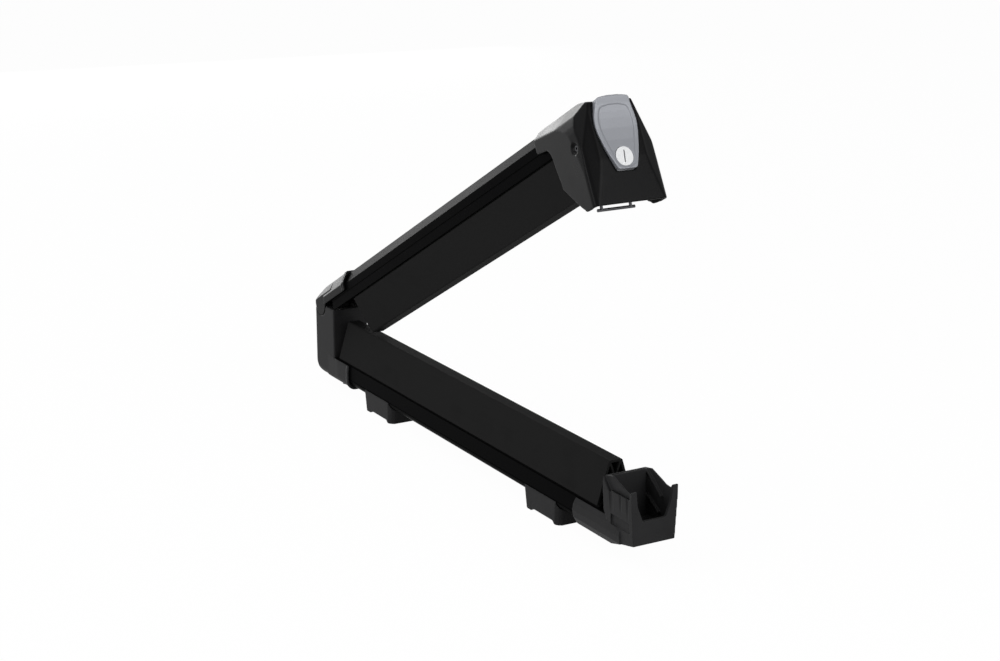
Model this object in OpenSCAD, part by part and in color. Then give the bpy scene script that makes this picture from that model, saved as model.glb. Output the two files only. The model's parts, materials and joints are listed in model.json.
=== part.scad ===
// Roof ski carrier: a lower bar on two feet and a hinged upper arm with a push-button latch.
// X runs along the bar from the hinge to the latch, Z is up, and the feet stand on z = 0.

/* [Overall] */
// Length from the hinge bracket to the front of the receiver
overall_l = 747; // [720:1:780]
// Angle at which the arm stands open
open_angle = 28.3; // [26:0.1:32]
// Gap left between the two rubbers when the arm is closed
closed_gap = 1.4; // [1:0.1:3]
// How far the pivot moves forward while it lifts
lift_forward = 12; // [11:0.5:13]

/* [Rails] */
// Width of both rails
rail_w = 47; // [46:0.5:47.5]
// Height of the lower rail
lower_rail_h = 27; // [26:0.5:30]
// Height of the upper rail
upper_rail_h = 33; // [32:0.5:35]
// Depth of the upper rail's lips below the pivot
arm_lip = 18; // [17.5:0.5:18.5]
// Wall of the rails
rail_wall = 2; // [1.6:0.1:2.2]
// Depth of the channel that holds a rubber
channel_d = 7; // [6:0.5:7.5]
// Radius of the lower rail's bottom corners
rail_corner = 8; // [7:0.5:9]
// Width of the slot for the feet
slot_w = 9; // [8:0.5:10]
// Width of the track inside the slot
track_w = 19; // [18:0.5:20]
// Height of the track inside the slot
track_h = 8; // [7:0.5:9]

/* [Rubbers] */
// Width of a rubber above the rail
rubber_base_w = 44; // [42:0.5:45]
// Width of a rubber's pressing face
rubber_top_w = 16; // [14:0.5:20]
// Height of a rubber above the shadow gap
rubber_h = 46; // [44:0.5:47]
// Wall of a rubber
rubber_wall = 2.6; // [2:0.1:3]
// Height of the shadow gap between rail and rubber
shadow_gap = 2; // [1.5:0.1:3]
// Distance from the pivot to the upper rubber
arm_rubber_x0 = 98; // [97:1:110]

/* [Feet] */
// Height of a foot below the rail
foot_h = 18; // [16:0.5:22]
// Length of a foot
foot_l = 70; // [62:1:76]
// Distance of a foot's mounting hole from the carrier's end
foot_inset = 178.5; // [176:0.5:190]
// Height of the arch under a foot
foot_arch = 3; // [2:0.5:4]
// Length of a toe
foot_toe = 9; // [6:0.5:10]
// Radius of the mounting hole
mount_r = 3.3; // [3.1:0.05:3.5]
// Radius of the thread in the slot nut
nut_thread_r = 2.5; // [2.4:0.05:2.6]
// Distance from the mounting hole to a retaining screw
foot_screw_x = 17; // [15:0.5:19]

/* [Hinge] */
// Length of the bracket's block
block_l = 56; // [55:0.5:58]
// Length of the bracket's sleeve round the rail
hinge_sleeve_l = 46; // [40:1:48]
// Wall of the sleeves round the lower rail
sleeve_wall = 1.8; // [1.6:0.1:2.2]
// Half width of the bracket and of the lobes
hinge_half_w = 24; // [23.75:0.25:24.25]
// Distance of the pivot from the bracket's rear face
pivot_in = 17; // [16.8:0.1:17.5]
// Height of the pivot above the lower rail's lips
pivot_h = 62; // [61:0.5:63]
// Radius of the lobes on the hinge cover
lobe_r = 14; // [13.5:0.1:14.2]
// Half thickness of the lift link
link_half_t = 12; // [10:0.5:13]
// Width of the lift link's blade
link_w = 26; // [24:0.5:26]
// Radius of the hinge pin
hinge_pin_r = 4; // [3.5:0.5:4.5]
// Wall of the bush on the hinge pin
bush_wall = 2; // [1.5:0.25:2.25]
// Length of the hinge cover from the pivot
cover_l = 87; // [82:1:92]

/* [Receiver] */
// Length of the receiver's body
receiver_l = 53; // [52:0.5:55]
// Length of the sleeve behind it
receiver_sleeve_l = 55; // [50:1:56]
// Half width of the receiver
receiver_half_w = 28; // [27.5:0.25:28.5]
// Half width of its flat front, at the top
receiver_front_half_w = 27.5; // [27:0.25:27.5]
// Half width of the pocket
pocket_half_w = 22.5; // [22.2:0.1:23]
// Wall of the pocket
pocket_wall = 1.6; // [1.4:0.1:1.8]
// Height of the horns above the receiver's front bottom edge
horn_h = 57.5; // [55:0.5:58]
// Height of the notch above the same edge
notch_h = 25; // [22:1:28]
// Thickness of a catch rib
rib_t = 2; // [1.6:0.1:2.2]
// Reach of a catch rib in from the pocket's side
rib_reach = 3; // [2.5:0.1:3.2]

/* [Latch] */
// Reach of the closed housing in front of the receiver
head_over = 4; // [3.5:0.5:5]
// Half width of the housing at the front of its sides
housing_half_w = 42; // [41.8:0.2:43]
// Wall of the housing
housing_wall = 2.6; // [2.2:0.1:2.7]
// Depth of the housing below the pivot's level
housing_d = 95; // [94:0.5:97]
// Travel of the button
button_travel = 4; // [3:0.5:4]
// Gap round the button
button_gap = 0.5; // [0.4:0.1:0.8]
// Wall of the button
button_wall = 2.2; // [1.8:0.1:2.4]
// Depth of the latch pin below the pivot's level
latch_pin_d = 30.8; // [30.4:0.2:31.4]
// Radius of the latch pin
latch_pin_r = 3; // [2.5:0.25:3.25]
// Radius of the hub on the latch pin
hub_r = 5.5; // [5:0.1:5.6]
// Radius of the catch bar
bail_r = 1.6; // [1.4:0.1:1.8]
// Half length of the catch bar
bail_half_l = 21.8; // [21.5:0.1:22]
// Depth of the catch bar below the pivot's level
bail_d = 91.5; // [91:0.5:92.5]
// Distance of the catch's legs from the middle
leg_y = 17.1; // [16.8:0.1:17.2]
// Depth of the lock below the pivot's level
lock_d = 49.6; // [49.4:0.1:50]
// Radius of the lock plug
lock_r = 9.8; // [9:0.1:9.9]

/* [Hidden] */
$fn = 48;

run_clear = 0.06;     // radial clearance of a pin that turns
seat_clear = 0.05;    // radial clearance of a screw in its thread
slip = 0.3;           // gap between parts that slide
nest = 0.2;           // gap between parts that are pushed together
free_gap = 0.5;       // gap of a catch at rest
rear_x = -overall_l / 2;
front_x = overall_l / 2;
rail_half = rail_w / 2;
rail_z = foot_h;
lip_z = rail_z + lower_rail_h;
rubber_reach = rubber_h + shadow_gap;
rubber_top = lip_z + rubber_reach;
pivot_x = rear_x + pivot_in;
pivot_z = lip_z + pivot_h;
// closed position of the pivot, for what must meet when the arm is closed
closed_x = pivot_x + lift_forward;
front_edge = front_x + head_over - closed_x;   // from the pivot to the housing's front edge
arm_top = upper_rail_h - arm_lip;          // height of the upper rail above the pivot
arm_reach = arm_lip + rubber_reach;        // depth of the upper rubber's face below the pivot
lift_up = rubber_top + closed_gap + arm_reach - pivot_z;
lift_slope = lift_forward / lift_up;
lift_tilt = atan(lift_slope);
block_x = rear_x + block_l;                // front face of the bracket's block
base_z = rail_z - 4;                       // underside of both sleeves
rail_x0 = block_x + nest;
receiver_x = front_x - receiver_l;         // rear plate of the receiver
rail_x1 = receiver_x - nest;
rubber_x0 = block_x + 11;
rubber_x1 = receiver_x - 19;
receiver_z = rail_z + 9;                   // bottom edge of the receiver's front
screw_y = 16;
screw_r = 2.5;
cap_screw_r = 2;
screw_in = 18;                             // distance of the sleeve screws from block and plate
// the rail starts where it clears the bracket's top with the arm open
block_top = pivot_z + 0.2;
arm_rail_x0 = (arm_lip * cos(open_angle) + 1.2) / sin(open_angle);
arm_rail_x1 = front_edge - 62;
ear_in = link_half_t + 0.5;
bush_r = hinge_pin_r + bush_wall;
head_r = bush_r + 3;
closed_z = pivot_z + lift_up;
latch_pin_x = front_edge - 15;
bail_x = latch_pin_x - 16.4;
bail_closed_x = closed_x + bail_x;
bail_closed_z = closed_z - bail_d;
push_d = latch_pin_d - 19;                 // level at which the button pushes the lever

// Places a shape drawn in the arm's own frame: origin at the pivot, x along the arm, z outward.
module on_arm() {
    translate([pivot_x, 0, pivot_z]) rotate([0, -open_angle, 0]) children();
}

// Extrudes a profile drawn as (y, z) from x0 to x1.
module along_x(x0, x1) {
    translate([x0, 0, 0]) rotate([90, 0, 90]) linear_extrude(x1 - x0) children();
}

// Extrudes a profile drawn as (x, z) from y0 to y1.
module along_y(y0, y1) {
    translate([0, y1, 0]) rotate([90, 0, 0]) linear_extrude(y1 - y0) children();
}

module bore_y(r, y0, y1) {
    translate([0, y1, 0]) rotate([90, 0, 0]) cylinder(r = r, h = y1 - y0);
}

module bore_x(r, x0, x1) {
    translate([x0, 0, 0]) rotate([0, 90, 0]) cylinder(r = r, h = x1 - x0);
}

module both_sides() {
    children();
    mirror([0, 1, 0]) children();
}

// Both halves of a polygon given by its right half, from top to bottom.
function mirrored(p) = concat(p, [for (i = [len(p) - 1:-1:0]) [-p[i][0], p[i][1]]]);

// Screw standing upwards: head below z = 0, shank above it.
module screw_up(shank, r, head_r, head_h) {
    translate([0, 0, -head_h]) cylinder(r = head_r, h = head_h);
    cylinder(r = r, h = shank);
}

// Outline of the lower rail above its bottom face, grown by g.
module lower_outline(g = 0) {
    translate([-rail_half - g, rail_corner]) square([rail_w + 2 * g, lower_rail_h - rail_corner]);
    translate([-rail_half + rail_corner, -g]) square([rail_w - 2 * rail_corner, rail_corner + g + 1]);
    for (s = [-1, 1]) translate([s * (rail_half - rail_corner), rail_corner]) circle(r = rail_corner + g);
}

// Channel that holds a rubber, drawn down from the lips.
module rubber_channel() {
    inner = rail_half - rail_wall;
    translate([-inner, -channel_d]) square([2 * inner, channel_d + 1]);
    translate([-inner - 0.9, -channel_d]) square([2 * inner + 1.8, 2.6]);
}

module lower_profile() {
    cell_in = track_w / 2 + rail_wall;
    cell_out = rail_half - rail_wall;
    core_h = lower_rail_h - channel_d - rail_wall;
    difference() {
        lower_outline();
        translate([0, lower_rail_h]) rubber_channel();
        translate([-slot_w / 2, -1]) square([slot_w, rail_wall + 2]);
        translate([-track_w / 2, rail_wall]) square([track_w, track_h]);
        translate([-track_w / 2, rail_wall * 2 + track_h])
            square([track_w, core_h - track_h - rail_wall * 2]);
        for (s = [-1, 1])
            polygon([[s * cell_in, rail_wall], [s * (rail_half - rail_corner + 1), rail_wall],
                     [s * cell_out, rail_corner - 0.5], [s * cell_out, core_h], [s * cell_in, core_h]]);
        for (s = [-1, 1]) translate([s * rail_half, rail_corner + 0.9]) square([1, 1], center = true);
    }
}

module lower_rail() color([0.10, 0.10, 0.105])
    difference() {
        translate([0, 0, rail_z]) along_x(rail_x0, rail_x1) lower_profile();
        for (x = [block_x + screw_in, receiver_x - screw_in], s = [-1, 1])
            translate([x, s * screw_y, rail_z - 1]) cylinder(r = screw_r + seat_clear, h = rail_wall + 5);
    }

// Hollow rubber drawn up from the lips: foot in the channel, flanks, pressing face and three webs.
module rubber_profile() {
    foot_half = rail_half - rail_wall - nest;
    base = rubber_base_w / 2;
    top = rubber_top_w / 2;
    slope = (base - top) / rubber_h;
    floor_z = shadow_gap + rubber_wall;
    roof_z = rubber_reach - rubber_wall;
    web = rubber_wall * 0.8;
    core = top - rubber_wall * 1.1;
    apex_d = 2.7 * core;
    // inner face of the flank, outer face of the slanting web, and the height at which they meet
    flank_0 = base - rubber_wall * 1.05 + shadow_gap * slope;
    web_slope = apex_d / core;
    web_0 = roof_z - apex_d - web * sqrt(1 + web_slope * web_slope);
    meet_z = (web_0 + web_slope * flank_0) / (1 + web_slope * slope);
    difference() {
        polygon(mirrored([[top - 0.9, rubber_reach], [top + 0.5, rubber_reach - 1.3], [base, shadow_gap],
                          [foot_half - 2, shadow_gap], [foot_half - 2, 0], [foot_half, 0],
                          [foot_half, nest + 2 - channel_d], [foot_half + 0.7, nest + 2 - channel_d],
                          [foot_half + 0.7, nest - channel_d]]));
        translate([-foot_half + 4, -channel_d + 2.6])
            square([2 * foot_half - 8, channel_d - 2.6 + shadow_gap - 0.4]);
        for (s = [-1, 1])
            polygon([[s * web / 2, floor_z], [s * (flank_0 - slope * floor_z), floor_z],
                     [s * (flank_0 - slope * meet_z), meet_z], [s * web / 2, web_0 + web_slope * web / 2]]);
        polygon([[-core, roof_z], [core, roof_z], [0.3, roof_z - apex_d + 0.3 * web_slope],
                 [-0.3, roof_z - apex_d + 0.3 * web_slope]]);
    }
}

module lower_rubber() color([0.14, 0.14, 0.14])
    translate([0, 0, lip_z]) along_x(rubber_x0, rubber_x1) rubber_profile();

// Blade of the lift link: a band that leans with the lift, from z0 to z1 about the pivot.
module link_band(z0, z1, g = 0) {
    left = lobe_r / 2 - 0.7;
    polygon([[left + z0 * lift_slope - g, z0], [left + link_w + z0 * lift_slope + g, z0],
             [left + link_w + z1 * lift_slope + g, z1], [left + z1 * lift_slope - g, z1]]);
}

block_r = 25;                              // radius of the bracket's lower rear corner
sleeve_half = rail_half + nest + sleeve_wall;
sleeve_corner = rail_corner + 2;           // radius along the lower edges of both sleeves
link_foot = -(pivot_z - rail_z - 9);       // lower end of the blade about the pivot

module hinge_bracket() color([0.12, 0.12, 0.125])
    difference() {
        union() {
            // block with a round lower corner, round sides below and round upright edges behind
            difference() {
                intersection() {
                    along_y(-hinge_half_w - 1, hinge_half_w + 1) {
                        translate([rear_x + block_r, base_z])
                            square([block_l - block_r, block_top - base_z]);
                        translate([rear_x, base_z + block_r])
                            square([block_l, block_top - base_z - block_r]);
                        translate([rear_x + block_r, base_z + block_r]) circle(r = block_r);
                    }
                    along_x(rear_x - 1, block_x + 1) {
                        translate([-hinge_half_w, base_z + sleeve_corner])
                            square([2 * hinge_half_w, block_top - base_z]);
                        translate([-hinge_half_w + sleeve_corner, base_z - 1])
                            square([2 * (hinge_half_w - sleeve_corner), sleeve_corner + 2]);
                        for (s = [-1, 1]) translate([s * (hinge_half_w - sleeve_corner), base_z + sleeve_corner])
                            circle(r = sleeve_corner);
                    }
                    translate([0, 0, base_z - 1]) linear_extrude(block_top - base_z + 2) {
                        translate([rear_x + 5, -hinge_half_w - 1]) square([block_l, 2 * hinge_half_w + 2]);
                        translate([rear_x, -hinge_half_w + 5]) square([block_l, 2 * hinge_half_w - 10]);
                        for (s = [-1, 1]) translate([rear_x + 5, s * (hinge_half_w - 5)]) circle(r = 5);
                    }
                }
                along_y(-40, 40) translate([rear_x - 1, pivot_z - 7]) square([pivot_in + 1, 20]);
            }
            // sleeve round the rail with a raised rim and a bowed end
            intersection() {
                bowed_sleeve(block_x - 20, block_x + hinge_sleeve_l, 0);
                // its sides widen out of the block's
                translate([0, 0, base_z - 1]) linear_extrude(lip_z - base_z + 3)
                    polygon([[block_x - 26, hinge_half_w - 0.4], [block_x + 12, sleeve_half],
                             [block_x + hinge_sleeve_l + 2, sleeve_half], [block_x + hinge_sleeve_l + 2, -sleeve_half],
                             [block_x + 12, -sleeve_half], [block_x - 26, 0.4 - hinge_half_w]]);
            }
            bowed_sleeve(block_x + hinge_sleeve_l - 5, block_x + hinge_sleeve_l, 0.9);
        }
        // cup for the lobes, open along the lift
        translate([pivot_x, 0, pivot_z]) along_y(-40, 40) {
            circle(r = lobe_r + 0.4);
            rotate(-lift_tilt) translate([-lobe_r - 0.4, 0]) square([2 * lobe_r + 0.8, 40]);
        }
        translate([pivot_x, 0, pivot_z])
            along_y(-link_half_t - slip, link_half_t + slip) link_band(link_foot - slip, 20, slip);
        translate([0, 0, rail_z]) along_x(block_x, block_x + 90) {
            lower_outline(nest);
            translate([-40, lower_rail_h]) square([80, 10]);
        }
        for (s = [-1, 1]) translate([block_x + screw_in, s * screw_y, base_z - 1]) {
            cylinder(r = screw_r + nest, h = 10);
            cylinder(r = 2 * screw_r, h = 2.8);
        }
    }

// Sleeve on the lower rail from x0 to x1, grown by g, with both ends bowed towards the rear.
module bowed_sleeve(x0, x1, g) {
    intersection() {
        along_x(x0 - 3, x1 + 1) sleeve_outline(g);
        along_y(-40, 40)
            polygon([[x0, base_z - 2], [x1, base_z - 2], [x1 - 2.2, base_z + 6], [x1 - 3, base_z + 14],
                     [x1 - 2.6, lip_z - 7], [x1, lip_z + 1], [x0, lip_z + 1], [x0 - 2.6, lip_z - 7],
                     [x0 - 3, base_z + 14], [x0 - 2.2, base_z + 6]]);
    }
}

// Outside of a sleeve on the lower rail, from its underside to the lips, grown by g.
module sleeve_outline(g) {
    half = sleeve_half + g;
    corner = sleeve_corner;
    translate([-half, base_z - g + corner]) square([2 * half, lip_z - base_z + g - corner]);
    translate([-half + corner, base_z - g]) square([2 * half - 2 * corner, corner + 1]);
    for (s = [-1, 1]) translate([s * (half - corner), base_z - g + corner]) circle(r = corner);
}

module sleeve_screws(x) {
    for (s = [-1, 1]) translate([x, s * screw_y, base_z + 1.8])
        screw_up(rail_z + rail_wall - base_z + 1, screw_r, 2 * screw_r - 0.3, 1.5);
}

module bracket_screws() color([0.55, 0.55, 0.57]) sleeve_screws(block_x + screw_in);

module receiver_screws() color([0.55, 0.55, 0.57]) sleeve_screws(receiver_x - screw_in);

// Rib that the catch bar snaps under, drawn as (x, z): its top edge runs from x0 to x1 down a slope.
module catch_rib(x0, z0, x1, z1) {
    len = norm([x1 - x0, z1 - z0]);
    dx = rib_t * (z1 - z0) / len;
    dz = -rib_t * (x1 - x0) / len;
    polygon([[x0, z0], [x1, z1], [x1 + dx, z1 + dz], [x0 + dx, z0 + dz]]);
}

module receiver() {
    rz = receiver_z;
    rx = receiver_x;
    skin_out = receiver_half_w - 1.8;
    skin_in = pocket_half_w + pocket_wall;
    top_z = rz + horn_h + 4.5;
    floor_z = rz + 10;
    back_x = rx + 8;
    wall_x = front_x - 4;
    rib_slope = 0.76;
    rib_top = bail_closed_z + (bail_r + free_gap + rib_t) * sqrt(1 + rib_slope * rib_slope);
    function rib_z(x) = rib_top - (x - bail_closed_x) * rib_slope;
    rib_x1 = bail_closed_x + 10.7;
    color([0.12, 0.12, 0.125]) {
        difference() {
            union() {
                // sleeve with a bowed rear edge and barrel sides
                intersection() {
                    along_x(rx - receiver_sleeve_l - 6, rx + 30)
                        polygon(mirrored([[rail_half + 1, lip_z], [receiver_half_w - 1.6, lip_z - 6],
                                          [receiver_half_w - 1, lip_z - 14], [receiver_half_w - 1.8, lip_z - 22],
                                          [rail_half - 1, base_z + 1.6]]));
                    along_y(-40, 40)
                        polygon([[rx - receiver_sleeve_l, lip_z + 1], [rx - receiver_sleeve_l - 3, lip_z - 8],
                                 [rx - receiver_sleeve_l - 4, lip_z - 15],
                                 [rx - receiver_sleeve_l - 3, lip_z - 22],
                                 [rx - receiver_sleeve_l, base_z], [rx + 4, base_z], [rx + 30, rz - 5],
                                 [rx + 30, rz + 9], [rx + 1, lip_z + 1]]);
                }
                // body: side outline and plan outline with its stepped corners
                intersection() {
                    along_y(-40, 40)
                        polygon([[rx, rz + 23], [rx + 5, rz + 14], [rx + 27, rz - 5.6], [rx + 41, rz - 2.6],
                                 [front_x, rz], [front_x, rz + horn_h],
                                 [front_x - 2, rz + horn_h], [front_x - 6, rz + horn_h - 4.5],
                                 [front_x - 14, rz + horn_h - 4], [front_x - 22, rz + horn_h - 1],
                                 [front_x - 40, rz + horn_h + 5],
                                 [back_x, rz + horn_h + 4], [rx, rz + horn_h + 2.5]]);
                    translate([0, 0, base_z - 10]) linear_extrude(120) receiver_plan();
                    along_x(rx - 1, front_x + 1)
                        polygon(mirrored([[receiver_half_w, top_z + 10], [receiver_half_w, rz + 50],
                                          [receiver_half_w - 3, rz], [receiver_half_w - 4.5, rz - 14]]));
                }
            }
            translate([0, 0, rail_z]) along_x(0, rx) {
                lower_outline(nest);
                translate([-40, lower_rail_h]) square([80, 10]);
            }
            for (s = [-1, 1]) translate([rx - screw_in, s * screw_y, base_z - 1]) {
                cylinder(r = screw_r + nest, h = 10);
                cylinder(r = 2 * screw_r, h = 2.8);
            }
            // pocket
            translate([back_x, -pocket_half_w, floor_z])
                cube([wall_x - back_x, 2 * pocket_half_w, 100]);
            // open gap between the skins, and the low outer skin beside it
            both_sides() {
                translate([back_x + 5, skin_in, floor_z + 2])
                    cube([wall_x - back_x - 5 - 2, skin_out - skin_in, 100]);
                translate([0, skin_in, 0]) along_y(0, 20)
                    polygon([[rx - 1, rz + horn_h + 4], [rx, rz + horn_h + 1.5], [rx + 12.5, rz + 45],
                             [rx + 12.7, rz + 48.5], [front_x - 4.5, rz + 48.5], [front_x - 4.5, 200],
                             [rx - 1, 200]]);
            }
            // groove behind the pocket's back wall
            translate([rx + 3, -skin_in + 4, rz + horn_h - 8]) cube([3, 2 * skin_in - 8, 40]);
            // notch in the front wall
            along_x(wall_x - 1, front_x + 1)
                polygon(mirrored([[pocket_half_w - 0.4, top_z + 10], [pocket_half_w - 0.6, rz + horn_h],
                                  [pocket_half_w - 1.3, rz + horn_h - 8], [pocket_half_w - 2.2, rz + horn_h - 16],
                                  [pocket_half_w - 8.8, rz + notch_h]]));
            // hollow under the floor
            translate([rx + 4, -skin_in + 3, rz - 20]) cube([receiver_l - 9, 2 * skin_in - 6, 27]);
        }
        // catch ribs on both sides of the pocket
        both_sides() along_y(pocket_half_w - rib_reach, pocket_half_w + 0.5) {
            catch_rib(back_x - 0.5, rib_z(back_x - 0.5), rib_x1 - 3, rib_z(rib_x1 - 3));
            translate([rib_x1 - 3, rib_z(rib_x1 - 3) - 1.6]) circle(r = 1.6);
            catch_rib(back_x - 0.5, rz + 35.5, rib_x1 - 7, rz + 22.3);
            translate([rib_x1 - 7, rz + 20.8]) circle(r = 1.5);
        }
    }
}

// Plan outline of the receiver: a groove behind its rear flange and ridges round the front corners.
module receiver_plan() {
    w = receiver_half_w;
    rx = receiver_x;
    f = receiver_front_half_w;
    side = [[rx, w - 0.3], [rx + 11.5, w - 0.3], [rx + 12.5, w - 1.6], [rx + 17.5, w - 1.6], [rx + 18.5, w],
            [rx + 29.5, w], [rx + 31, w - 1.3], [rx + 33, w - 1.3], [rx + 34.5, w - 0.2],
            [rx + 42, w - 0.2], [rx + 43.5, w - 1.5], [rx + 45.5, w - 1.5], [rx + 47, w - 0.4],
            [front_x - 1, f + 0.5], [front_x, f + 0.3]];
    polygon(concat([for (q = side) [q[0], -q[1]]], [for (i = [len(side) - 1:-1:0]) side[i]]));
}

foot_half_w = rail_half + 1.1;

// One foot, centred on its mounting hole.
module foot() {
    fl = foot_l / 2;
    wrap_z = rail_z + rail_corner + 0.5;
    difference() {
        intersection() {
            along_y(-foot_half_w, foot_half_w)
                polygon([[-fl + 5, 0], [-fl + 5 + foot_toe, 0], [-fl + 8 + foot_toe, foot_arch],
                         [fl - 3 - foot_toe, foot_arch], [fl - foot_toe, 0], [fl, 0],
                         [fl, wrap_z], [-fl, wrap_z]]);
            linear_extrude(wrap_z + 1)
                polygon([[-fl - 1, -foot_half_w], [fl - 6, -foot_half_w], [fl - 2, -foot_half_w + 2.5],
                         [fl, -foot_half_w + 6], [fl, foot_half_w - 6], [fl - 2, foot_half_w - 2.5],
                         [fl - 6, foot_half_w], [-fl - 1, foot_half_w]]);
        }
        translate([0, 0, rail_z]) along_x(-fl - 1, fl + 1) {
            lower_outline(nest);
        }
        translate([0, 0, -1]) cylinder(r = mount_r, h = rail_z + 2);
        for (s = [-1, 1]) translate([s * foot_screw_x, 0, -1]) {
            cylinder(r = screw_r + nest, h = rail_z + 2);
            cylinder(r = 2 * screw_r, h = foot_arch + 6);
        }
    }
}

// Nut plate that slides in the rail's track.
module slot_nut() {
    nut_l = 2 * foot_screw_x + 12;
    difference() {
        translate([-nut_l / 2, -track_w / 2 + slip, rail_z + rail_wall + nest])
            cube([nut_l, track_w - 2 * slip, track_h - 2 * nest]);
        translate([0, 0, rail_z]) cylinder(r = nut_thread_r, h = 40);
        for (s = [-1, 1]) translate([s * foot_screw_x, 0, rail_z]) cylinder(r = screw_r + seat_clear, h = 40);
    }
}

module foot_screws() {
    for (s = [-1, 1]) translate([s * foot_screw_x, 0, foot_arch + 5])
        screw_up(rail_z + rail_wall + track_h - foot_arch - 6, screw_r, 2 * screw_r - 0.3, 3);
}

module rear_foot() color([0.16, 0.16, 0.16]) translate([rear_x + foot_inset, 0, 0]) foot();
module rear_slot_nut() color([0.6, 0.6, 0.62]) translate([rear_x + foot_inset, 0, 0]) slot_nut();
module rear_foot_screws() color([0.55, 0.55, 0.57]) translate([rear_x + foot_inset, 0, 0]) foot_screws();
module front_foot() color([0.16, 0.16, 0.16]) translate([front_x - foot_inset, 0, 0]) foot();
module front_slot_nut() color([0.6, 0.6, 0.62]) translate([front_x - foot_inset, 0, 0]) slot_nut();
module front_foot_screws() color([0.55, 0.55, 0.57]) translate([front_x - foot_inset, 0, 0]) foot_screws();

module lift_link() color([0.2, 0.2, 0.21])
    translate([pivot_x, 0, pivot_z]) difference() {
        along_y(-link_half_t, link_half_t) {
            circle(r = head_r);
            // neck inside the cup, then the blade below the upper rail's lips
            polygon([[-head_r * 0.66, -head_r * 0.75], [lobe_r / 2 - 3.6, -lobe_r + 1.2],
                     [lobe_r / 2 + 6, -arm_lip - 8], [lobe_r / 2 + link_w - 5.2, -arm_lip - free_gap],
                     [head_r * 0.99, -1]]);
            link_band(link_foot, -arm_lip - free_gap);
        }
        bore_y(bush_r + seat_clear, -40, 40);
    }

module link_bush() color([0.75, 0.65, 0.35])
    translate([pivot_x, 0, pivot_z]) difference() {
        bore_y(bush_r, -link_half_t, link_half_t);
        bore_y(hinge_pin_r + run_clear, -40, 40);
    }

// Outline of the upper rail, grown by g.
module upper_outline(g = 0) {
    polygon(mirrored([[15 + g * 0.5, arm_top + g], [rail_half + g, arm_top - 12.2 + g * 0.5],
                      [rail_half + g, -arm_lip]]));
}

module upper_profile() {
    wall = rail_wall;
    cell_z = -arm_lip + channel_d + wall;
    difference() {
        upper_outline();
        translate([0, -arm_lip]) mirror([0, 1]) rubber_channel();
        translate([-8, cell_z]) square([16, arm_top - wall - cell_z]);
        for (s = [-1, 1])
            polygon([[s * 10, cell_z], [s * (rail_half - wall), cell_z], [s * (rail_half - wall), arm_top - 12.8],
                     [s * 14, arm_top - wall], [s * 10, arm_top - wall]]);
        // groove along both sides
        for (s = [-1, 1]) translate([s * rail_half, -arm_lip + 10.3]) square([1.4, 2.4], center = true);
    }
}

cover_screw_x = [cover_l - 38, cover_l - 18];
housing_screw_x = [front_edge - 92, front_edge - 74];

module upper_rail() color([0.10, 0.10, 0.105])
    on_arm() difference() {
        along_x(arm_rail_x0, arm_rail_x1) upper_profile();
        for (x = concat(cover_screw_x, housing_screw_x))
            translate([x, 0, arm_top - rail_wall - 1]) cylinder(r = cap_screw_r + seat_clear, h = rail_wall + 2);
    }

module upper_rubber() color([0.14, 0.14, 0.14])
    on_arm() translate([0, 0, -arm_lip]) mirror([0, 0, 1]) along_x(arm_rubber_x0, arm_rail_x1) rubber_profile();

cover_half = rail_half + nest + 2.3;
cover_top = arm_top + 3;

// Outside of the hinge cover across the arm, grown by g.
module cover_outline(g = 0) {
    polygon(mirrored([[16.8 + g * 0.5, cover_top + g], [cover_half + g, cover_top - 14 + g * 0.5],
                      [cover_half + g, -4.5]]));
}

module hinge_cover() color([0.13, 0.13, 0.135])
    on_arm() difference() {
        union() {
            along_x(16, cover_l) cover_outline();
            // double rim
            for (x = [cover_l - 8, cover_l - 3.4]) along_x(x, x + 3.4) cover_outline(0.9);
            // two ears with round lobes, under the same outline
            intersection() {
                both_sides() along_y(ear_in, hinge_half_w) {
                    circle(r = lobe_r);
                    polygon([[-lobe_r * 0.25, lobe_r * 0.96], [lobe_r, cover_top], [arm_rail_x0 + 4, cover_top],
                             [arm_rail_x0 + 4, -4.5], [lobe_r * 0.93, -4.5], [0, 0]]);
                }
                along_x(-lobe_r - 1, arm_rail_x0 + 5)
                    polygon(mirrored([[16.8, cover_top], [cover_half, cover_top - 12], [cover_half, -lobe_r - 1]]));
            }
            // roof between the ears
            along_y(-ear_in - 1, ear_in + 1)
                polygon([[lobe_r * 0.3, cover_top - 3], [lobe_r, cover_top], [20, cover_top],
                         [20, head_r + 1], [lobe_r * 0.3, head_r + 1]]);
        }
        along_x(arm_rail_x0 - nest, cover_l + 2) {
            upper_outline(nest);
            translate([-rail_half - nest, -arm_lip - 1]) square([rail_w + 2 * nest, 4]);
        }
        // room for the link's head
        along_y(-ear_in, ear_in)
            polygon([[-30, head_r + 1], [arm_rail_x0, head_r + 1], [arm_rail_x0, -40], [-30, -40]]);
        bore_y(hinge_pin_r + seat_clear, -hinge_half_w + 3.5, 40);
        for (x = cover_screw_x) translate([x, 0, 0]) {
            cylinder(r = cap_screw_r + nest, h = cover_top + 1);
            translate([0, 0, cover_top - 1.5]) cylinder(r = 2 * cap_screw_r + nest, h = 3);
        }
    }

module hinge_pin() color([0.6, 0.6, 0.62])
    on_arm() bore_y(hinge_pin_r, -hinge_half_w + 3.7, hinge_half_w - 0.3);

module top_screws(xs, z) {
    for (x = xs) translate([x, 0, z - 1.5]) rotate([180, 0, 0])
        screw_up(z - 1.5 - arm_top + rail_wall + 1, cap_screw_r, 2 * cap_screw_r, 1.3);
}

module cover_screws() color([0.3, 0.3, 0.31]) on_arm() top_screws(cover_screw_x, cover_top);

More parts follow.
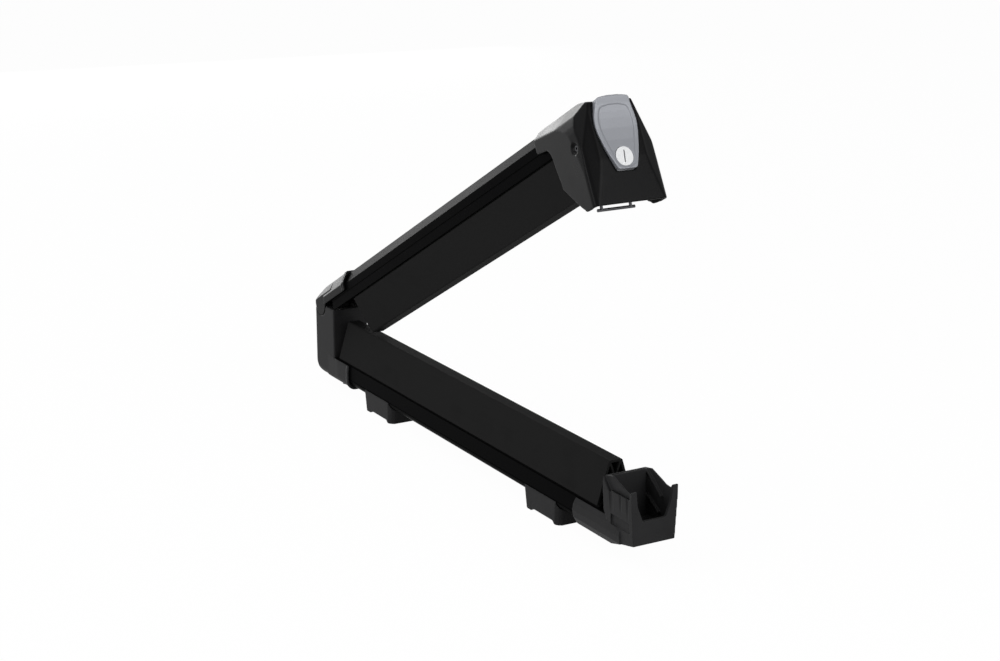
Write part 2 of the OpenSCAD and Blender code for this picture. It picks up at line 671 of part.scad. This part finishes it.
housing_top = arm_top + 3.6;
side_x = front_edge - 2;                   // front of the housing's flared sides
flare_x = front_edge - 122;                // where the flare is measured from, behind the housing's rear end
side_at_pin = housing_half_w - 0.9;        // half width of the sides round the latch pin
panel_x = front_edge + 5;                  // front panel of the housing
button_face = panel_x + 1.8;               // middle of the button's hollowed face
barrel_x = panel_x - 12;                   // rear end of the lock's barrel
cam_x = barrel_x - 2.4;                    // rear face of the lock's tongue
flare = 0.143;

// The three outlines of the housing, each drawn t inside the outer skin.
module housing_side(t, x0, z0) {
    polygon([[x0, z0], [x0, housing_top - 3.4 - t], [front_edge - 62, housing_top - t],
             [front_edge - 32, housing_top - 0.4 - t], [front_edge - 20, housing_top - 2.6 - t],
             [front_edge - t * 0.3, housing_top - 7.8 - t],
             [panel_x - t, housing_top - 9.8 - t], [panel_x - t, -50], [front_edge + 3 - t, -70],
             [front_edge - 0.2 - t, z0]]);
}

module housing_plan(t) {
    side = housing_half_w + 1 - t * 1.01;
    corner_x = side_x - t * 0.5;
    half = [[flare_x, side - flare * (side_x - flare_x)], [corner_x - 4, side - 4 * flare], [corner_x, side - 0.9],
            [corner_x + 2, side - 3.4], [panel_x - t - 1, 28.8 - t * 0.31],
            [panel_x - t, 27 - t * 0.31], [panel_x - t + 1, 8]];
    polygon(concat(half, [for (i = [len(half) - 1:-1:0]) [half[i][0], -half[i][1]]]));
}

module housing_front(t, z0) {
    w = housing_half_w;
    polygon(mirrored([[11 - t * 0.2, housing_top - t], [20 - t * 0.5, housing_top - 2.4 - t],
                      [w - 5.7 - t * 0.8, -t * 0.5], [w - 4.2 - t, -5 - t * 0.3], [w - 2.8 - t, -10],
                      [w - 1.8 - t, -16], [w - 0.9 - t, -30], [w - t, -50], [w + 0.7 - t, -70],
                      [w + 0.9 - t, z0]]));
}

module housing_body(t, x0, z0) {
    difference() {
        intersection() {
            along_y(-60, 60) housing_side(t, x0, z0);
            translate([0, 0, z0]) linear_extrude(housing_top - z0 + 1) housing_plan(t);
            along_x(x0, panel_x + 2) housing_front(t, z0);
        }
        // bevel of the upper front corners, which fades out further down
        both_sides() translate([panel_x, 27.5, 0]) rotate([0, -12, 55])
            translate([-t, -60, -60]) cube([60, 120, 120]);
    }
}

// What the side outline of the housing leaves out below and behind.
module housing_trim() {
    e = front_edge;
    d = housing_d;
    along_y(-60, 60) {
        polygon([[e - 130, 40], [e - 104, 20], [e - 106.7, 5.4], [e - 105.9, -7.6], [e - 80.2, -12],
                 [e - 74, -17], [e - 71.4, -24.5], [e - 69.2, -35.8], [e - 65.8, -51.6], [e - 64.7, -58.3],
                 [e - 36.1, 11.4 - d], [e - 22.7, 1.2 - d], [e - 12.9, 0.2 - d], [e + 20, 0.2 - d], [e + 20, -140],
                 [e - 130, -140]]);
    }
}

// Outline of the button across the arm, grown by g away from its middle.
module button_outline(g = 0) {
    polygon(mirrored([for (q = [[6, 12.2], [12, 11.5], [16.8, 10.8], [19, 9.1], [20.1, 5], [21.4, 0],
                                [22.8, -5], [23.7, -9.5], [24.1, -14], [23.9, -19], [23.1, -25],
                                [21.7, -31], [19.9, -38], [17.1, -47], [12.2, -59], [10.9, -61.6],
                                [8.8, -62.6]])
                      let (d = norm([q[0], q[1] + 22])) [q[0] * (1 + g / d), q[1] + g * (q[1] + 22) / d]]));
}

module latch_housing() color([0.12, 0.12, 0.125])
    on_arm() difference() {
        union() {
            difference() {
                housing_body(0, front_edge - 108, -housing_d - 4);
                difference() {
                    housing_body(housing_wall, front_edge - 101, -housing_d - 8);
                    // end wall behind the rail
                    translate([arm_rail_x1 - 4, -60, -56]) cube([7.4, 120, 100]);
                }
                housing_trim();
            }
            // bosses for the latch pin
            both_sides() translate([latch_pin_x, 0, -latch_pin_d])
                bore_y(hub_r + 1, side_at_pin - 10, side_at_pin - housing_wall + 0.6);
            // shoulder that the lock's cam turns in front of
            translate([0, 0, -lock_d - 3.4]) linear_extrude(7)
                polygon([[cam_x - 6.8, 11.4], [cam_x - 4.4, 11.4], [cam_x - 4.4, 13.6], [cam_x - 1.8, 13.6],
                         [cam_x - 1.8, 18.9], [panel_x - housing_wall + 1, 18.9],
                         [panel_x - housing_wall + 1, 21.4], [cam_x - 4.3, 21.4], [cam_x - 4.3, 14.9],
                         [cam_x - 6.8, 14.9]]);
        }
        // rail and rubber
        along_x(front_edge - 130, arm_rail_x1 + nest) {
            upper_outline(nest);
            translate([-rail_half - nest, -arm_reach - 40]) square([rail_w + 2 * nest, rubber_reach + 41]);
        }
        translate([latch_pin_x, 0, -latch_pin_d]) {
            bore_y(latch_pin_r + seat_clear, -60, 60);
            both_sides() bore_y(6, side_at_pin - 2.9, 60);
        }
        difference() {
            along_x(front_edge - 4, panel_x + 20) button_outline(button_gap);
            translate([front_edge - 5, -30, skirt_top + button_gap])
                cube([lip_x - button_travel - button_gap - front_edge + 5, 60, 20]);
        }
        for (x = housing_screw_x) translate([x, 0, 0]) {
            cylinder(r = cap_screw_r + nest, h = 60);
            translate([0, 0, housing_top - 2]) cylinder(r = 2 * cap_screw_r + nest, h = 8);
        }
    }

module housing_screws() color([0.3, 0.3, 0.31]) on_arm() top_screws(housing_screw_x, housing_top - 0.5);

module latch_pin() color([0.6, 0.6, 0.62])
    on_arm() translate([latch_pin_x, 0, -latch_pin_d])
        difference() {
            bore_y(latch_pin_r, -side_at_pin + 3, side_at_pin - 3);
            // blind holes in both ends
            both_sides() bore_y(latch_pin_r * 0.45, side_at_pin - 7, side_at_pin);
        }

// Coils of the lever's spring, closed up, on the pin at both ends of the hub.
module lever_springs() color([0.5, 0.5, 0.52])
    on_arm() translate([latch_pin_x, 0, -latch_pin_d]) both_sides() difference() {
        bore_y(latch_pin_r + 1.5, 20.4, side_at_pin - 10.4);
        bore_y(latch_pin_r + 0.2, 0, 60);
    }

button_back = panel_x - 9;
barrel_r = lock_r + 1.4;
skirt_top = 7.6;                           // top of the button's skirt inside the housing
lip_x = button_face - 4.6;                 // back of the button's lip above the skirt

module release_button() color([0.60, 0.60, 0.62])
    on_arm() difference() {
        union() {
            intersection() {
                along_x(button_back, panel_x + 12) button_outline();
                along_y(-40, 40)
                    polygon([[button_back, skirt_top], [lip_x, skirt_top], [lip_x, 20],
                             [button_face + 5.2, 20], [button_face + 4.8, 10],
                             [button_face + 2.6, 4], [button_face + 1, -3], [button_face + 0.2, -10],
                             [button_face - 0.4, -20], [button_face - 0.4, -32], [button_face + 0.1, -42],
                             [button_face + 0.9, -52], [button_face + 1.7, -70], [button_back, -70]]);
            }
            // tabs behind the front panel
            both_sides() translate([panel_x - housing_wall - slip - 2.4, 18, -18]) cube([2.4, 7.9, 16]);
        }
        // hollow back with a ring round the lock and a pusher for the lever
        difference() {
            intersection() {
                along_x(button_back - 1, button_face - 3.2) difference() {
                    button_outline(-button_wall);
                    translate([0, -lock_d]) circle(r = barrel_r + 1.6);
                }
                translate([button_back - 2, -30, skirt_top - 82]) cube([30, 60, 80]);
            }
            translate([button_back - 1, -5, -push_d]) cube([20, 10, 6]);
        }
        // shallow panel inside the raised border of the face
        intersection() {
            along_x(button_face - 4, button_face + 8)
                polygon(mirrored([[6, 3.2], [12, 2.2], [15.4, 0.8], [17.2, -2], [18.8, -7], [19.5, -13],
                                  [19.1, -20], [17.7, -28], [15.6, -36], [12.8, -45], [12.4, -53],
                                  [9.6, -58.5], [4.5, -61]]));
            along_y(-40, 40)
                polygon([[button_face + 8, 20], [button_face + 1.9, 4], [button_face + 0.3, -3],
                         [button_face - 0.5, -10], [button_face - 1.1, -20], [button_face - 1.1, -32],
                         [button_face - 0.6, -42], [button_face + 0.1, -52], [button_face + 0.6, -64],
                         [button_face + 8, -70]]);
        }
        translate([0, 0, -lock_d]) {
            bore_x(barrel_r + seat_clear, button_back - 1, button_face - 3.2);
            bore_x(lock_r + nest, button_back, panel_x + 20);
        }
    }

module lock_barrel() color([0.7, 0.7, 0.7])
    on_arm() translate([0, 0, -lock_d]) difference() {
        bore_x(barrel_r, barrel_x, button_face - 3.2 - nest);
        bore_x(lock_r + run_clear, barrel_x - 1, button_face);
    }

module lock_plug() color([0.85, 0.85, 0.85])
    on_arm() translate([0, 0, -lock_d]) difference() {
        union() {
            bore_x(lock_r, barrel_x, button_face - 0.3);
            bore_x(3, cam_x, barrel_x + 1);
        }
        // key slot
        rotate([-8, 0, 0]) translate([button_face - 6, -0.6, -6.4]) cube([10, 1.2, 12.8]);
        bore_x(1.4 + seat_clear, barrel_x - 10, barrel_x + 6);
    }

// Tongue of the lock: stands up when the lock is open and turns in front of the shoulder.
module lock_cam() color([0.65, 0.65, 0.66])
    on_arm() translate([0, 0, -lock_d]) difference() {
        union() {
            bore_x(5, cam_x, barrel_x - nest);
            along_x(cam_x, barrel_x - nest) translate([-2.6, 0]) square([5.2, 13]);
        }
        bore_x(3 + seat_clear, barrel_x - 10, barrel_x + 2);
    }

module cam_screw() color([0.55, 0.55, 0.57])
    on_arm() translate([0, 0, -lock_d]) {
        bore_x(4, barrel_x - 4, barrel_x - 2.6);
        bore_x(1.4, barrel_x - 3, barrel_x + 4);
    }

pad_x = button_back - 0.3;                 // front of the lever's pad
leg_len = norm([latch_pin_x - bail_x, bail_d - latch_pin_d]);
leg_tilt = atan((latch_pin_x - bail_x) / (bail_d - latch_pin_d));

// Wire leg of the catch from its bar to a hole in the lever's hub, of radius r.
module catch_leg(r) {
    translate([bail_x, leg_y, -bail_d]) rotate([0, leg_tilt, 0]) cylinder(r = r, h = leg_len - hub_r + 1.6);
}

module latch_lever() color([0.55, 0.55, 0.57])
    on_arm() difference() {
        union() {
            translate([latch_pin_x, 0, -latch_pin_d]) bore_y(hub_r, -20, 20);
            along_y(-9, 9)
                polygon([[latch_pin_x - 3, -latch_pin_d], [latch_pin_x + 4.5, -latch_pin_d],
                         [pad_x, -push_d - 5], [pad_x, -push_d + 3],
                         [pad_x - 4, -push_d + 3], [latch_pin_x - 2, -push_d - 8]]);
        }
        translate([latch_pin_x, 0, -latch_pin_d]) bore_y(latch_pin_r + run_clear, -60, 60);
        both_sides() catch_leg(bail_r + seat_clear);
    }

module catch_bar() color([0.75, 0.75, 0.76])
    on_arm() {
        translate([bail_x, 0, -bail_d]) bore_y(bail_r, -bail_half_l, bail_half_l);
        both_sides() catch_leg(bail_r);
    }

lower_rail();
lower_rubber();
hinge_bracket();
bracket_screws();
receiver();
receiver_screws();
rear_foot();
rear_slot_nut();
rear_foot_screws();
front_foot();
front_slot_nut();
front_foot_screws();
lift_link();
link_bush();
upper_rail();
upper_rubber();
hinge_cover();
hinge_pin();
cover_screws();
latch_housing();
housing_screws();
latch_pin();
lever_springs();
release_button();
lock_barrel();
lock_plug();
lock_cam();
cam_screw();
latch_lever();
catch_bar();
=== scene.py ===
import json
import math

import bmesh
import bpy
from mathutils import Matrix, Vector


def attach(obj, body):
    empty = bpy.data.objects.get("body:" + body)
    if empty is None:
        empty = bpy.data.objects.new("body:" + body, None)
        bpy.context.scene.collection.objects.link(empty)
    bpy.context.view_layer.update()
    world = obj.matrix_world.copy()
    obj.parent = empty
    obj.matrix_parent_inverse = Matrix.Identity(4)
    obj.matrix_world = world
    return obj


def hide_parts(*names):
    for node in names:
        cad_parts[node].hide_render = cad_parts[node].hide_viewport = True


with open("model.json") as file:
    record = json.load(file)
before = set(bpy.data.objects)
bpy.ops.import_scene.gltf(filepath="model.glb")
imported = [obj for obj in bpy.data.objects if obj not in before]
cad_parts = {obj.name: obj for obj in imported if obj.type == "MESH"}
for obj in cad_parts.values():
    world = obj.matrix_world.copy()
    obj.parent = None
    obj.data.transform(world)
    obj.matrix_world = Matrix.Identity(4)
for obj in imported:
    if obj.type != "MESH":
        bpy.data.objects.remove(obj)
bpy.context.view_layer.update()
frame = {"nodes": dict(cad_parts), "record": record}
nodes = frame["nodes"]
MM = 0.001

# Materials


def new_mat(name):
    """Empty node material: itself, its tree and the input that its shader goes into."""
    m = bpy.data.materials.new(name)
    m.use_nodes = True
    nt = m.node_tree
    nt.nodes.clear()
    out = nt.nodes.new("ShaderNodeOutputMaterial")
    return m, nt, out.inputs["Surface"]


def noise(nt, coord, scale, detail, rough, stretch=(1, 1, 1)):
    """Noise on object coordinates, stretched on request."""
    mp = nt.nodes.new("ShaderNodeMapping")
    mp.inputs["Scale"].default_value = stretch
    nt.links.new(coord, mp.inputs["Vector"])
    n = nt.nodes.new("ShaderNodeTexNoise")
    n.inputs["Scale"].default_value = scale
    n.inputs["Detail"].default_value = detail
    n.inputs["Roughness"].default_value = rough
    nt.links.new(mp.outputs["Vector"], n.inputs["Vector"])
    return n.outputs["Fac"]


LOW, HIGH = 0.3, 0.7    # noise between these covers a material's whole range


def ramp(nt, fac, lo, hi):
    """Value from lo to hi as the noise goes from LOW to HIGH."""
    r = nt.nodes.new("ShaderNodeMapRange")
    r.inputs["From Min"].default_value = LOW
    r.inputs["From Max"].default_value = HIGH
    r.inputs["To Min"].default_value = lo
    r.inputs["To Max"].default_value = hi
    nt.links.new(fac, r.inputs["Value"])
    return r.outputs["Result"]


def tint(nt, fac, c0, c1):
    """Colour from c0 to c1 as the noise goes from LOW to HIGH."""
    r = nt.nodes.new("ShaderNodeValToRGB")
    r.color_ramp.elements[0].position = LOW
    r.color_ramp.elements[1].position = HIGH
    r.color_ramp.elements[0].color = (*c0, 1)
    r.color_ramp.elements[1].color = (*c1, 1)
    nt.links.new(fac, r.inputs["Fac"])
    return r.outputs["Color"]


def add(nt, a, b, k):
    """a + k * b"""
    m = nt.nodes.new("ShaderNodeMath")
    m.operation = "MULTIPLY_ADD"
    nt.links.new(b, m.inputs[0])
    m.inputs[1].default_value = k
    nt.links.new(a, m.inputs[2])
    return m.outputs[0]


BROAD = 22.0            # scale of the broad tone variation
BUMP = 0.6              # strength of the grain
STREAK_TONE = 0.5       # share of the streaks in the tone
STREAK_GRAIN = 0.6      # and in the grain


def surface(name, base, rough, grain, metallic=0.0, spread=0.12, rough_var=0.05,
            grain_h=0.00004, streak=None, spec=0.5):
    """Material with fine grain, broad tone variation and, on request, streaks along one axis."""
    m, nt, shader = new_mat(name)
    b = nt.nodes.new("ShaderNodeBsdfPrincipled")
    nt.links.new(b.outputs["BSDF"], shader)
    co = nt.nodes.new("ShaderNodeTexCoord").outputs["Object"]
    broad = noise(nt, co, BROAD, 3.0, 0.6)
    fine = noise(nt, co, grain, 2.0, 0.5)
    if streak:
        lines = noise(nt, co, 1.0, 3.0, 0.6, streak)
        broad = add(nt, broad, lines, STREAK_TONE)
        fine = add(nt, fine, lines, STREAK_GRAIN)
    lo = [c * (1 - spread) for c in base]
    hi = [c * (1 + spread) for c in base]
    nt.links.new(tint(nt, broad, lo, hi), b.inputs["Base Color"])
    nt.links.new(ramp(nt, broad, rough - rough_var, rough + rough_var), b.inputs["Roughness"])
    b.inputs["Metallic"].default_value = metallic
    b.inputs["Specular IOR Level"].default_value = spec
    bump = nt.nodes.new("ShaderNodeBump")
    bump.inputs["Strength"].default_value = BUMP
    bump.inputs["Distance"].default_value = grain_h
    nt.links.new(fine, bump.inputs["Height"])
    nt.links.new(bump.outputs["Normal"], b.inputs["Normal"])
    return m


# One material a slot
MATERIALS = {
    slot: surface(slot, **look) for slot, look in {
        "plastic_black": dict(base=(0.0165, 0.0165, 0.0170), rough=0.42, spec=0.035,
                              grain=2400, grain_h=0.00004),
        "plastic_satin": dict(base=(0.0024, 0.0024, 0.0026), rough=0.30, spec=0.05, spread=0.10,
                              grain=2600, grain_h=0.00003),
        "rail_anodised": dict(base=(0.0016, 0.0016, 0.0017), rough=0.26, spec=0.004, spread=0.10,
                              grain=3000, grain_h=0.00002, streak=(3, 900, 900)),
        "rubber_black": dict(base=(0.0100, 0.0100, 0.0100), rough=0.50, spec=0.004, spread=0.14,
                             grain=1500, grain_h=0.00004, streak=(4, 350, 350)),
        "button_silver": dict(base=(0.185, 0.192, 0.210), rough=0.40, metallic=0.25, spec=0.4,
                              spread=0.03, rough_var=0.03, grain=5000, grain_h=0.00001),
        "lock_steel": dict(base=(0.44, 0.445, 0.45), rough=0.34, metallic=0.45, spread=0.05,
                           rough_var=0.04, grain=900, grain_h=0.00002, streak=(900, 60, 900)),
        "steel_dark": dict(base=(0.05, 0.05, 0.054), rough=0.38, metallic=0.85, grain=1800),
        "steel_zinc": dict(base=(0.50, 0.50, 0.51), rough=0.34, metallic=0.95, spread=0.08,
                           grain=1600),
        "bush_bronze": dict(base=(0.42, 0.30, 0.14), rough=0.36, metallic=0.9, spread=0.08,
                            grain=1600),
    }.items()
}
slot_of = {s["node"]: s["material_slot"] for s in frame["record"]["subparts"]}
body_of = {n: b for b, ns in frame["record"]["behaviour"]["bodies"].items() for n in ns}

for name, obj in nodes.items():
    for s in obj.material_slots:
        s.material = MATERIALS[slot_of[name]]

# Pieces


def shown_copy(node, name):
    """Copy of a CAD node, shown in its place and riding on its body."""
    me = nodes[node].data.copy()
    me.name = name
    ob = bpy.data.objects.new(name, me)
    bpy.context.collection.objects.link(ob)
    me.materials.clear()
    me.materials.append(MATERIALS[slot_of[node]])
    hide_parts(node)
    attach(ob, body_of[node])
    return ob


def moulded(node, voxel, rounds):
    """Moulded plastic: the CAD node with every edge rounded off."""
    ob = shown_copy(node, node + "_body")
    skin = ob.modifiers.new("skin", "REMESH")
    skin.mode = "VOXEL"
    skin.voxel_size = voxel * MM
    skin.use_smooth_shade = True
    soften = ob.modifiers.new("soften", "SMOOTH")
    soften.factor = 0.5
    soften.iterations = rounds


MERGE = 0.02 * MM                   # vertices closer than this are one
FLAT = math.radians(0.5)            # faces that meet at less than this are one
EDGE = math.radians(20)             # edges sharper than this are bevelled


def drawn(node, width):
    """Drawn profile: the CAD node with a fine bevel on its edges."""
    ob = shown_copy(node, node + "_body")
    bm = bmesh.new()
    bm.from_mesh(ob.data)
    bmesh.ops.remove_doubles(bm, verts=bm.verts, dist=MERGE)
    bmesh.ops.dissolve_limit(bm, angle_limit=FLAT, verts=bm.verts, edges=bm.edges)
    bm.to_mesh(ob.data)
    bm.free()
    for p in ob.data.polygons:
        p.use_smooth = True
    bv = ob.modifiers.new("edges", "BEVEL")
    bv.width = width * MM
    bv.segments = 2
    bv.limit_method = "ANGLE"
    bv.angle_limit = EDGE
    wn = ob.modifiers.new("normals", "WEIGHTED_NORMAL")
    wn.keep_sharp = False
    wn.weight = 80


# node, voxel in mm, rounds of smoothing
MOULDED = (("latch_housing", 0.9, 8), ("hinge_cover", 0.6, 5), ("hinge_bracket", 0.9, 12),
           ("receiver", 0.55, 3), ("rear_foot", 0.8, 5), ("front_foot", 0.8, 5),
           ("release_button", 0.45, 4))
RAIL_EDGE = 0.35    # bevel of the rails' edges in mm
for node, voxel, rounds in MOULDED:
    moulded(node, voxel, rounds)
for node in ("upper_rail", "lower_rail"):
    drawn(node, RAIL_EDGE)

# Stage

FLOOR_HALF = 30         # half the floor's side in metres
FLOOR_GREY = (0.85, 0.85, 0.85)
FLOOR_GLOW = 0.975      # share of plain white that the seen floor shows; the rest takes the shadow
WHITE = (1, 1, 1, 1)
SKY = 0.24              # light from all round
SEEN_SKY = 1.0          # white background


def seen_rays(nt):
    """1 for the rays that show a background: camera, glossy and transmission rays."""
    path = nt.nodes.new("ShaderNodeLightPath")
    fac = path.outputs["Is Camera Ray"]
    for other in ("Is Glossy Ray", "Is Transmission Ray"):
        mx = nt.nodes.new("ShaderNodeMath")
        mx.operation = "MAXIMUM"
        nt.links.new(fac, mx.inputs[0])
        nt.links.new(path.outputs[other], mx.inputs[1])
        fac = mx.outputs[0]
    return fac


def floor_white():
    """Grey in the lamps' light, mixed with plain white where the floor is seen."""
    m, nt, shader = new_mat("floor_white")
    dif = nt.nodes.new("ShaderNodeBsdfDiffuse")
    dif.inputs["Color"].default_value = (*FLOOR_GREY, 1)
    em = nt.nodes.new("ShaderNodeEmission")
    em.inputs["Color"].default_value = WHITE
    em.inputs["Strength"].default_value = 1.0
    glow = nt.nodes.new("ShaderNodeMath")
    glow.operation = "MULTIPLY"
    glow.inputs[1].default_value = FLOOR_GLOW
    nt.links.new(seen_rays(nt), glow.inputs[0])
    mix = nt.nodes.new("ShaderNodeMixShader")
    nt.links.new(glow.outputs[0], mix.inputs["Fac"])
    nt.links.new(dif.outputs[0], mix.inputs[1])
    nt.links.new(em.outputs[0], mix.inputs[2])
    nt.links.new(mix.outputs[0], shader)
    return m


def floor():
    """Large floor under the object."""
    me = bpy.data.meshes.new("floor")
    bm = bmesh.new()
    bmesh.ops.create_grid(bm, x_segments=1, y_segments=1, size=FLOOR_HALF)
    bm.to_mesh(me)
    bm.free()
    me.materials.append(floor_white())
    ob = bpy.data.objects.new("floor", me)
    bpy.context.collection.objects.link(ob)


def studio():
    """World that lights weakly and is seen as white."""
    world = bpy.data.worlds.new("studio")
    bpy.context.scene.world = world
    world.use_nodes = True
    nt = world.node_tree
    nt.nodes.clear()
    out = nt.nodes.new("ShaderNodeOutputWorld")
    bg = nt.nodes.new("ShaderNodeBackground")
    bg.inputs["Color"].default_value = WHITE
    level = nt.nodes.new("ShaderNodeMapRange")
    level.inputs["To Min"].default_value = SKY
    level.inputs["To Max"].default_value = SEEN_SKY
    nt.links.new(seen_rays(nt), level.inputs["Value"])
    nt.links.new(level.outputs["Result"], bg.inputs["Strength"])
    nt.links.new(bg.outputs[0], out.inputs["Surface"])


def area(name, loc, target, size, power):
    """Soft lamp that no camera sees: place, aim, sides in metres and watts."""
    li = bpy.data.lights.new(name, "AREA")
    li.shape = "RECTANGLE"
    li.size, li.size_y = size
    li.energy = power
    ob = bpy.data.objects.new(name, li)
    ob.location = loc
    ob.rotation_euler = (Vector(target) - Vector(loc)).to_track_quat("-Z", "Y").to_euler()
    ob.visible_camera = False
    bpy.context.collection.objects.link(ob)


floor()
studio()
MIDDLE = (0, 0, 0.2)    # middle of the object, about
area("key", (-0.6, -1.2, 2.6), MIDDLE, (2.2, 2.2), 40)
area("front", (2.4, 0.6, 1.2), MIDDLE, (1.6, 1.6), 42)
area("side", (0.2, -3.0, 0.8), MIDDLE, (2.4, 1.4), 48)
area("rim", (-3.2, 0.5, 0.42), (0, 0, 0.25), (2.6, 0.8), 26)

# Camera

CAM_AT = (1.9125, -1.0658, 0.7782)      # place and direction solved from the photo
CAM_BACK = (0.8332, -0.4807, 0.2735)    # from the object towards the camera

cam_data = bpy.data.cameras.new("camera")
cam_data.lens = 72.0
cam_data.sensor_width = 36.0
cam_data.sensor_fit = "HORIZONTAL"
cam = bpy.data.objects.new("camera", cam_data)
cam.location = CAM_AT
cam.rotation_euler = (-Vector(CAM_BACK).normalized()).to_track_quat("-Z", "Y").to_euler()
bpy.context.collection.objects.link(cam)
bpy.context.scene.camera = cam
bpy.context.scene.view_settings.view_transform = "Standard"
